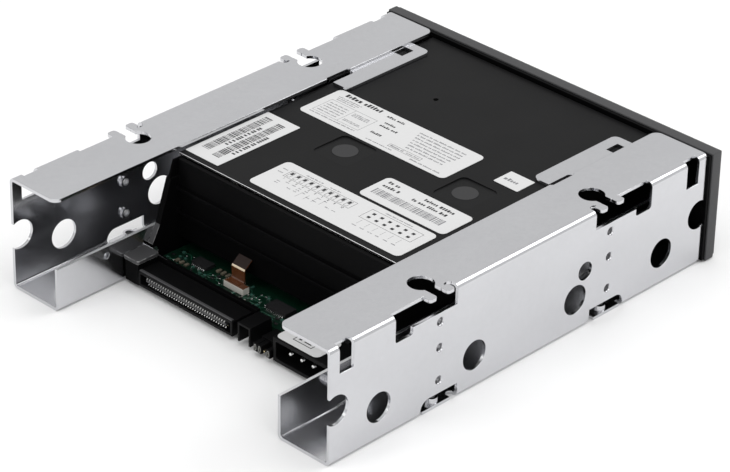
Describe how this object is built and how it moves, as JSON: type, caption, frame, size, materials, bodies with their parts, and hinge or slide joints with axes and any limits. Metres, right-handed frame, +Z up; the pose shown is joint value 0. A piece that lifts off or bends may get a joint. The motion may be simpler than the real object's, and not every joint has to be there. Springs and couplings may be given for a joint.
{
  "type": "tape drive",
  "caption": "Half-height cartridge tape drive in a black case with a charcoal front, held between two zinc-plated side brackets for a wide drive bay.",
  "frame": {"origin": "on the ground under the middle of the box round the whole drive", "axes": "+X to the right as seen from the front, +Y towards the connectors, +Z up; the front face looks along -Y"},
  "size_m": [0.1486, 0.1816, 0.0413],
  "materials": {
    "zinc": "bright zinc-plated sheet",
    "screw_steel": "bright steel",
    "black_moulding": "satin black",
    "black_paint": "satin black paint on sheet",
    "label_paper": "matt white label film",
    "plain_steel": "plain sheet steel",
    "charcoal_plastic": "fine-textured charcoal plastic",
    "lens": "clear tinted plastic",
    "board_green": "green solder mask",
    "chip_black": "moulded epoxy",
    "part_tan": "ceramic",
    "connector_black": "glossy black thermoplastic",
    "contact_gold": "gold-flashed contact",
    "contact_tin": "tinned pin",
    "white_plastic": "natural nylon",
    "flex_brown": "amber polyimide film",
    "cast_alloy": "die-cast alloy",
    "gear_plastic": "natural acetal",
    "dark_plastic": "black acetal",
    "polished_alloy": "lapped alloy",
    "roller_rubber": "ground black rubber",
    "switch_blue": "blue thermoplastic"
  },
  "bodies": {
    "drive": {"left_bracket": "zinc", "right_bracket": "zinc", "screws": "screw_steel", "chassis": "black_moulding", "top_cover": "black_paint", "labels": "label_paper", "bottom_plate": "plain_steel", "front_bezel": "charcoal_plastic", "front_frame": "black_moulding", "door_pin": "screw_steel", "indicator_lenses": "lens", "front_board": "board_green", "main_board": "board_green", "board_chips": "chip_black", "board_parts": "part_tan", "rear_housing": "black_moulding", "interface_connector": "connector_black", "interface_pins": "contact_gold", "jumper_header": "connector_black", "jumper_pins": "contact_gold", "jumper_shunts": "connector_black", "power_connector": "connector_black", "power_pins": "contact_tin", "flex_socket": "white_plastic", "flex_cable": "flex_brown", "mech_deck": "cast_alloy", "deck_posts": "screw_steel", "loading_frame": "plain_steel", "loading_motor": "plain_steel", "drum_base": "cast_alloy", "capstan_base": "dark_plastic", "switch_body": "switch_blue"},
    "door": {"cartridge_door": "charcoal_plastic"},
    "eject": {"eject_button": "charcoal_plastic"},
    "cam_left": {"cam_plate_left": "plain_steel"},
    "cam_right": {"cam_plate_right": "plain_steel"},
    "basket": {"cartridge_basket": "plain_steel"},
    "sync": {"sync_shaft": "gear_plastic"},
    "pinion": {"motor_pinion": "gear_plastic"},
    "supply_turntable": {"supply_reel": "dark_plastic"},
    "takeup_turntable": {"takeup_reel": "dark_plastic"},
    "supply_slider": {"supply_boat": "screw_steel"},
    "takeup_slider": {"takeup_boat": "screw_steel"},
    "supply_roller": {"supply_guide": "polished_alloy"},
    "takeup_roller": {"takeup_guide": "polished_alloy"},
    "drum": {"head_drum": "polished_alloy"},
    "capstan_shaft": {"capstan": "screw_steel"},
    "pinch": {"pinch_arm": "plain_steel"},
    "pinch_wheel": {"pinch_roller": "roller_rubber"},
    "tension": {"tension_arm": "plain_steel"},
    "lever_1": {"switch_lever_1": "white_plastic"},
    "lever_2": {"switch_lever_2": "white_plastic"},
    "lever_3": {"switch_lever_3": "white_plastic"},
    "lever_4": {"switch_lever_4": "white_plastic"},
    "lever_5": {"switch_lever_5": "white_plastic"},
    "lever_6": {"switch_lever_6": "white_plastic"},
    "lever_7": {"switch_lever_7": "white_plastic"},
    "lever_8": {"switch_lever_8": "white_plastic"},
    "lever_9": {"switch_lever_9": "white_plastic"},
    "lever_10": {"switch_lever_10": "white_plastic"}
  },
  "joints": [
    {"name": "door_hinge", "type": "hinge", "parent": "drive", "child": "door", "pos_m": [0, -0.08635, 0.0364], "axis": [1, 0, 0], "range_deg": [0, 80], "stiffness_Nm_per_rad": 0.0015, "springref_deg": -28.65},
    {"name": "eject_press", "type": "slide", "parent": "drive", "child": "eject", "axis": [0, 1, 0], "range_m": [0, 0.0008], "stiffness_N_per_m": 400, "springref_m": -0.001},
    {"name": "cam_slide", "type": "slide", "parent": "drive", "child": "cam_left", "axis": [0, 1, 0], "range_m": [0, 0.008]},
    {"name": "cam_slide_right", "type": "slide", "parent": "drive", "child": "cam_right", "axis": [0, 1, 0], "range_m": [0, 0.008]},
    {"name": "basket_lift", "type": "slide", "parent": "drive", "child": "basket", "axis": [0, 0, -1], "range_m": [0, 0.006]},
    {"name": "sync_turn", "type": "hinge", "parent": "drive", "child": "sync", "pos_m": [0, 0.024, 0.02072], "axis": [1, 0, 0], "range_deg": [0, 95.6]},
    {"name": "pinion_turn", "type": "hinge", "parent": "drive", "child": "pinion", "pos_m": [0, 0.03165, 0.02224], "axis": [1, 0, 0], "range_deg": [-152.9, 0]},
    {"name": "supply_reel_turn", "type": "hinge", "parent": "drive", "child": "supply_turntable", "pos_m": [-0.015, -0.05, 0.017], "axis": [0, 0, 1], "continuous": true},
    {"name": "takeup_reel_turn", "type": "hinge", "parent": "drive", "child": "takeup_turntable", "pos_m": [0.015, -0.05, 0.017], "axis": [0, 0, 1], "continuous": true},
    {"name": "supply_thread", "type": "slide", "parent": "drive", "child": "supply_slider", "axis": [-0.2356, 0.9719, 0], "range_m": [0, 0.03395]},
    {"name": "takeup_thread", "type": "slide", "parent": "drive", "child": "takeup_slider", "axis": [0.2356, 0.9719, 0], "range_m": [0, 0.03395]},
    {"name": "supply_guide_turn", "type": "hinge", "parent": "supply_slider", "child": "supply_roller", "pos_m": [-0.014, -0.027, 0.02], "axis": [0, 0, 1], "continuous": true},
    {"name": "takeup_guide_turn", "type": "hinge", "parent": "takeup_slider", "child": "takeup_roller", "pos_m": [0.014, -0.027, 0.02], "axis": [0, 0, 1], "continuous": true},
    {"name": "drum_spin", "type": "hinge", "parent": "drive", "child": "drum", "pos_m": [0, 0, 0.0161], "axis": [0, -0.0872, 0.9962], "continuous": true},
    {"name": "capstan_spin", "type": "hinge", "parent": "drive", "child": "capstan_shaft", "pos_m": [-0.028, 0.018, 0.014], "axis": [0, 0, 1], "continuous": true},
    {"name": "pinch_swing", "type": "hinge", "parent": "drive", "child": "pinch", "pos_m": [-0.035, 0.029, 0.018], "axis": [0, 0, 1], "range_deg": [0, 12], "stiffness_Nm_per_rad": 0.01, "springref_deg": -11.46},
    {"name": "pinch_roller_turn", "type": "hinge", "parent": "pinch", "child": "pinch_wheel", "pos_m": [-0.03518, 0.0175, 0.022], "axis": [0, 0, 1], "continuous": true},
    {"name": "tension_swing", "type": "hinge", "parent": "drive", "child": "tension", "pos_m": [0.033, 0.014, 0.015], "axis": [0, 0, 1], "range_deg": [-8, 8], "stiffness_Nm_per_rad": 0.01},
    {"name": "lever_1_slide", "type": "slide", "parent": "drive", "child": "lever_1", "axis": [0, 1, 0], "range_m": [0, 0.0014]},
    {"name": "lever_2_slide", "type": "slide", "parent": "drive", "child": "lever_2", "axis": [0, 1, 0], "range_m": [0, 0.0014]},
    {"name": "lever_3_slide", "type": "slide", "parent": "drive", "child": "lever_3", "axis": [0, 1, 0], "range_m": [0, 0.0014]},
    {"name": "lever_4_slide", "type": "slide", "parent": "drive", "child": "lever_4", "axis": [0, 1, 0], "range_m": [0, 0.0014]},
    {"name": "lever_5_slide", "type": "slide", "parent": "drive", "child": "lever_5", "axis": [0, 1, 0], "range_m": [0, 0.0014]},
    {"name": "lever_6_slide", "type": "slide", "parent": "drive", "child": "lever_6", "axis": [0, 1, 0], "range_m": [0, 0.0014]},
    {"name": "lever_7_slide", "type": "slide", "parent": "drive", "child": "lever_7", "axis": [0, 1, 0], "range_m": [0, 0.0014]},
    {"name": "lever_8_slide", "type": "slide", "parent": "drive", "child": "lever_8", "axis": [0, 1, 0], "range_m": [0, 0.0014]},
    {"name": "lever_9_slide", "type": "slide", "parent": "drive", "child": "lever_9", "axis": [0, 1, 0], "range_m": [0, 0.0014]},
    {"name": "lever_10_slide", "type": "slide", "parent": "drive", "child": "lever_10", "axis": [0, 1, 0], "range_m": [0, 0.0014]}
  ],
  "couplings": [
    {"joint": "cam_slide_right", "follows": "cam_slide", "ratio": 1},
    {"joint": "basket_lift", "follows": "cam_slide", "ratio": 0.75},
    {"joint": "sync_turn", "follows": "cam_slide", "rad_per_m": 208.33},
    {"joint": "pinion_turn", "follows": "cam_slide", "rad_per_m": -333.33},
    {"joint": "takeup_thread", "follows": "supply_thread", "ratio": 1}
  ]
}
